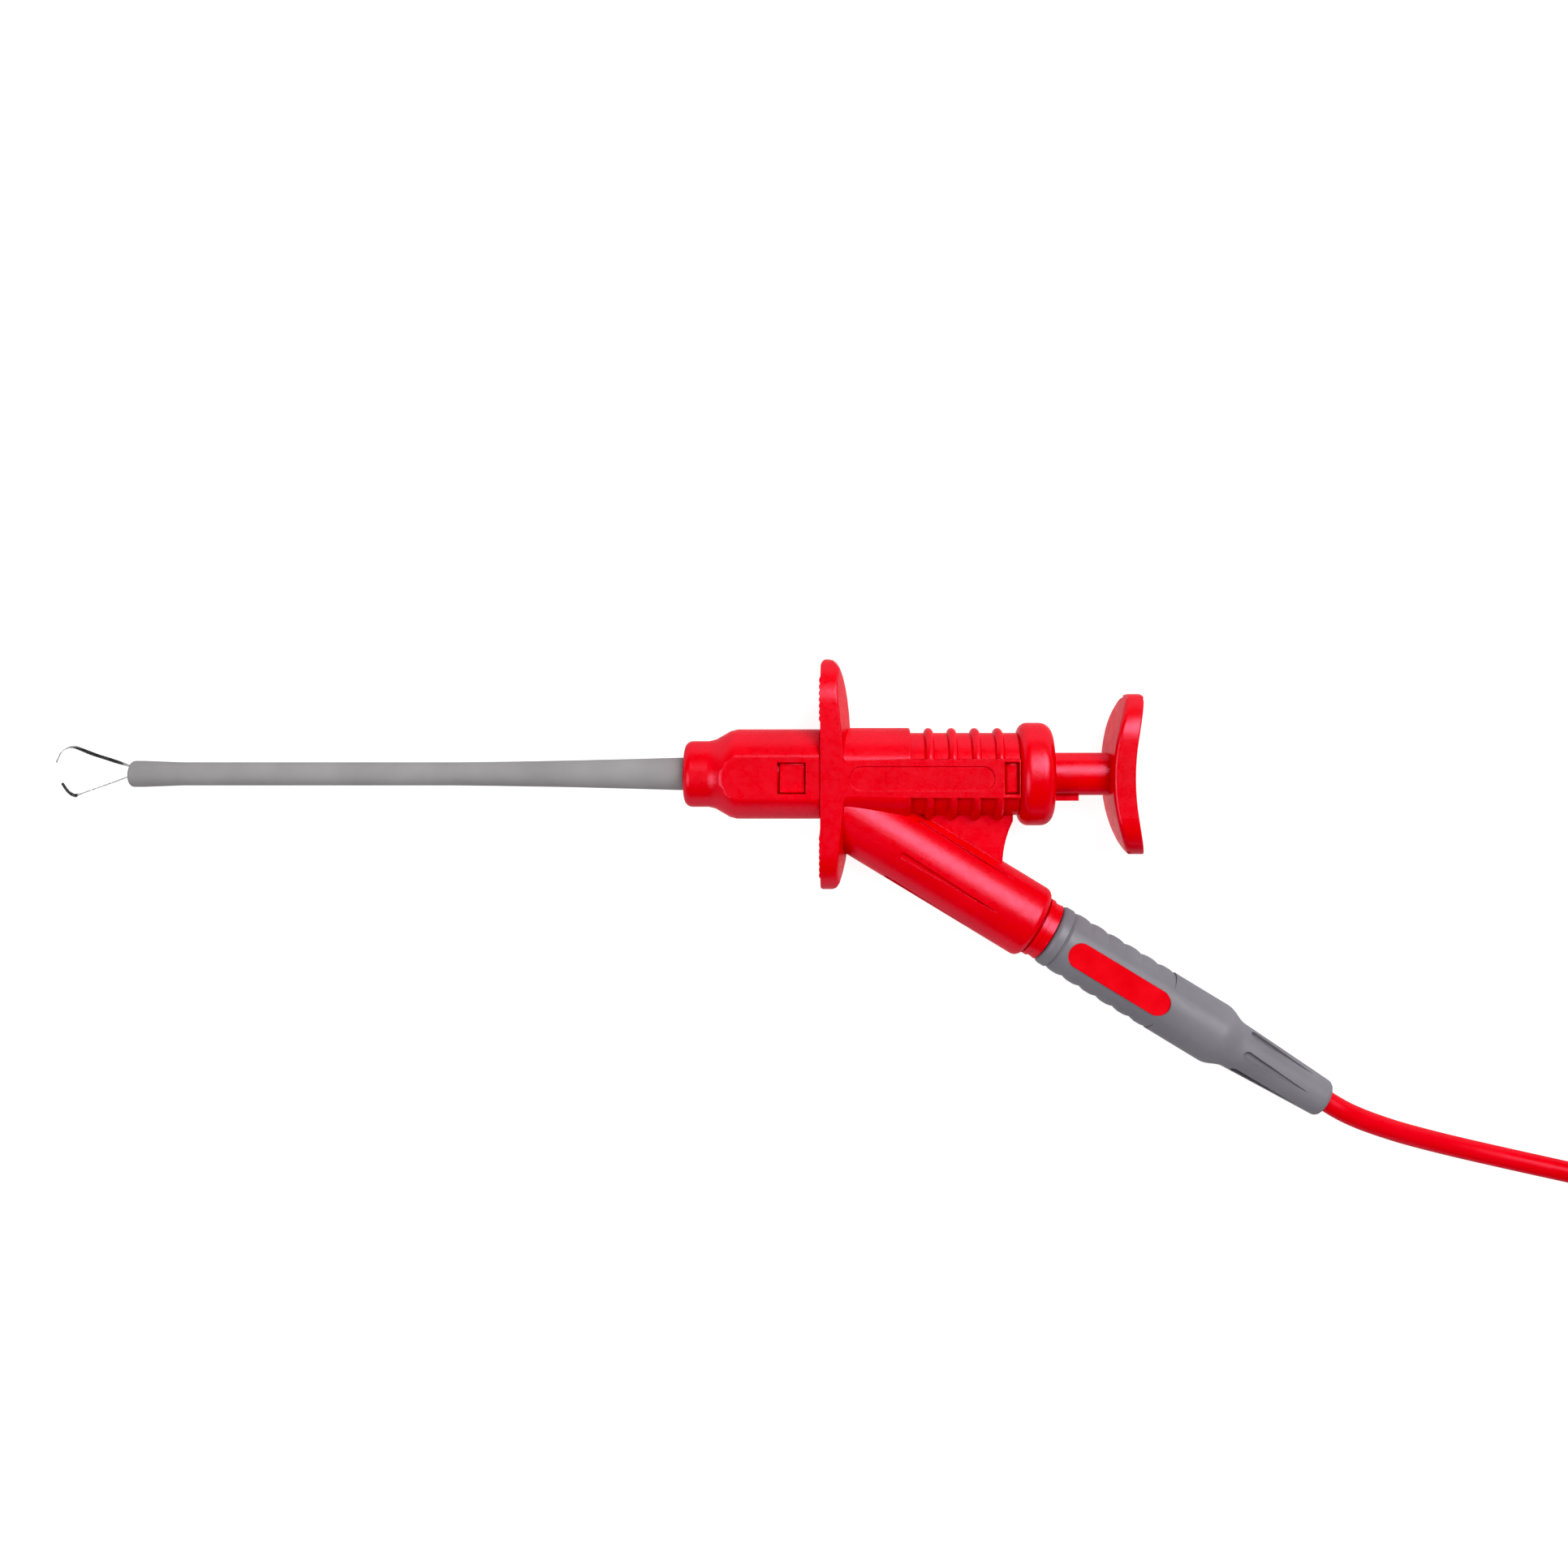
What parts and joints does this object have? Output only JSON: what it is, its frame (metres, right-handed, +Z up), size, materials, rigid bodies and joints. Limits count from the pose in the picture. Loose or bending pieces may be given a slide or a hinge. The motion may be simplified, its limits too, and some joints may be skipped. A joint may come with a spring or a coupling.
{
  "type": "grabber test hook",
  "caption": "Grabber test hook: thumb plunger, flexible shaft and crossing spring hooks, with a slanted safety socket and a coiled test lead plugged into it.",
  "frame": {"origin": "centre of the hook's own footprint on the table, without the lead that is plugged into it", "axes": "+X along the shaft from the hooks towards the thumb pad, +Y away from the slanted socket, +Z up from the table"},
  "size_m": [0.3144, 0.0961, 0.0157],
  "materials": {
    "red_plastic": "fine spark-eroded satin",
    "grey_sleeve": "matt",
    "grey_grip": "satin",
    "red_cord": "soft gloss",
    "spring_steel": "bright drawn",
    "nickel_pin": "nickel plated",
    "contact_brass": "turned",
    "tie_fabric": "woven"
  },
  "bodies": {
    "handle": {"handle_body": "red_plastic", "nose_cap": "red_plastic", "end_cap": "red_plastic", "shaft_sleeve": "grey_sleeve", "return_spring": "spring_steel", "contact_bush": "contact_brass", "contact_wire": "contact_brass", "socket_contact": "contact_brass"},
    "plunger": {"thumb_plunger": "red_plastic", "pull_rod": "spring_steel", "rod_crimp": "contact_brass", "jaw_ferrule": "spring_steel"},
    "jaw_upper": {"jaw_upper": "spring_steel"},
    "jaw_lower": {"jaw_lower": "spring_steel"},
    "test_lead": {"plug_pin": "nickel_pin", "pin_spring": "contact_brass", "plug_body": "red_plastic", "plug_grip": "grey_grip", "lead_cord": "red_cord", "lead_coil": "red_cord", "lead_tail": "red_cord", "coil_tie": "tie_fabric", "far_plug_pin": "nickel_pin", "far_pin_spring": "contact_brass", "far_plug_body": "red_plastic", "far_plug_grip": "grey_grip"}
  },
  "joints": [
    {"name": "plunger_slide", "type": "slide", "parent": "handle", "child": "plunger", "axis": [1, 0, 0], "range_m": [0, 0.0065], "stiffness_N_per_m": 160, "springref_m": 0.016, "deforming": ["return_spring"]},
    {"name": "jaw_upper_flex", "type": "hinge", "parent": "plunger", "child": "jaw_upper", "pos_m": [-0.06847, 0.00497, 0.00786], "axis": [0, 0, 1], "range_deg": [0, 17.6]},
    {"name": "jaw_lower_flex", "type": "hinge", "parent": "plunger", "child": "jaw_lower", "pos_m": [-0.06847, 0.00497, 0.00786], "axis": [0, 0, -1], "range_deg": [0, 17.6]},
    {"name": "plug_pull", "type": "slide", "parent": "handle", "child": "test_lead", "axis": [0.8549, -0.5188, 0], "range_m": [0, 0.024]}
  ],
  "couplings": [
    {"joint": "jaw_upper_flex", "follows": "plunger_slide", "rad_per_m": 47.25},
    {"joint": "jaw_lower_flex", "follows": "plunger_slide", "rad_per_m": 47.25}
  ]
}
